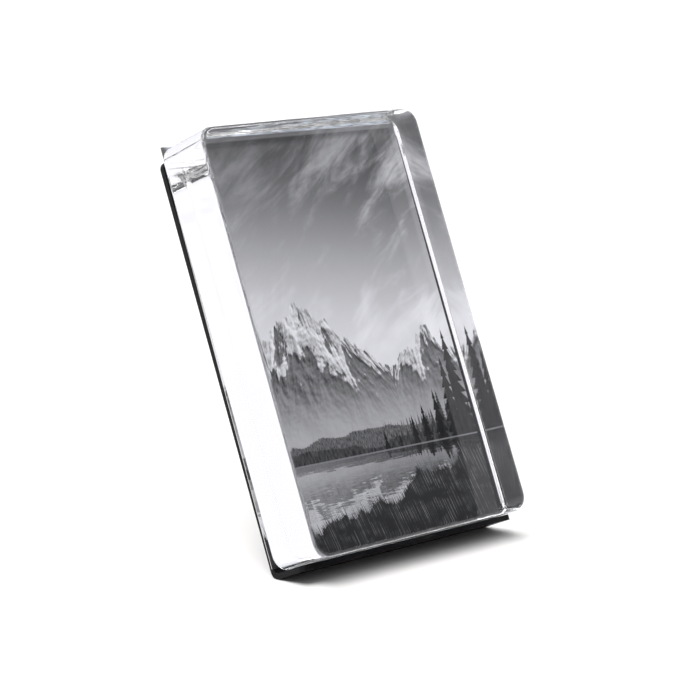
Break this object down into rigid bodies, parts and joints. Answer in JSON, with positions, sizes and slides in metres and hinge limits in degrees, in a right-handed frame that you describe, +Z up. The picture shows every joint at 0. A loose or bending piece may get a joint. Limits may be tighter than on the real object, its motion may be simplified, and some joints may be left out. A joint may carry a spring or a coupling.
{
  "type": "block photo frame",
  "caption": "Photo display: a thick clear rounded block leans back on a stand bent from black sheet, holding a print against its plate, with a folding easel leg behind.",
  "frame": {"origin": "on the table, in the middle of the bounding box", "axes": "+Z up, +X to the right of someone who looks at the picture, -Y toward that person"},
  "size_m": [0.1042, 0.083, 0.1525],
  "materials": {
    "clear": "clear and polished, faintly wavy",
    "print": "glossy photo paper",
    "coated_sheet": "satin black coating",
    "pin_steel": "plain bright steel",
    "foot_rubber": "matte black rubber"
  },
  "bodies": {
    "stand": {"stand_plate": "coated_sheet", "hinge_bracket": "coated_sheet", "rivets": "coated_sheet", "hinge_pin": "pin_steel"},
    "block": {"clear_block": "clear"},
    "print": {"photo_print": "print"},
    "leg": {"easel_leg": "coated_sheet", "leg_foot": "foot_rubber"}
  },
  "joints": [
    {"name": "block_lift", "type": "slide", "parent": "stand", "child": "block", "axis": [0, 0.3939, 0.9191], "range_m": [0, 0.16]},
    {"name": "print_slide", "type": "slide", "parent": "stand", "child": "print", "axis": [0, 0.3939, 0.9191], "range_m": [0, 0.156]},
    {"name": "leg_fold", "type": "hinge", "parent": "stand", "child": "leg", "pos_m": [0, 0.01595, 0.06603], "axis": [-1, 0, 0], "range_deg": [0, 36]}
  ]
}
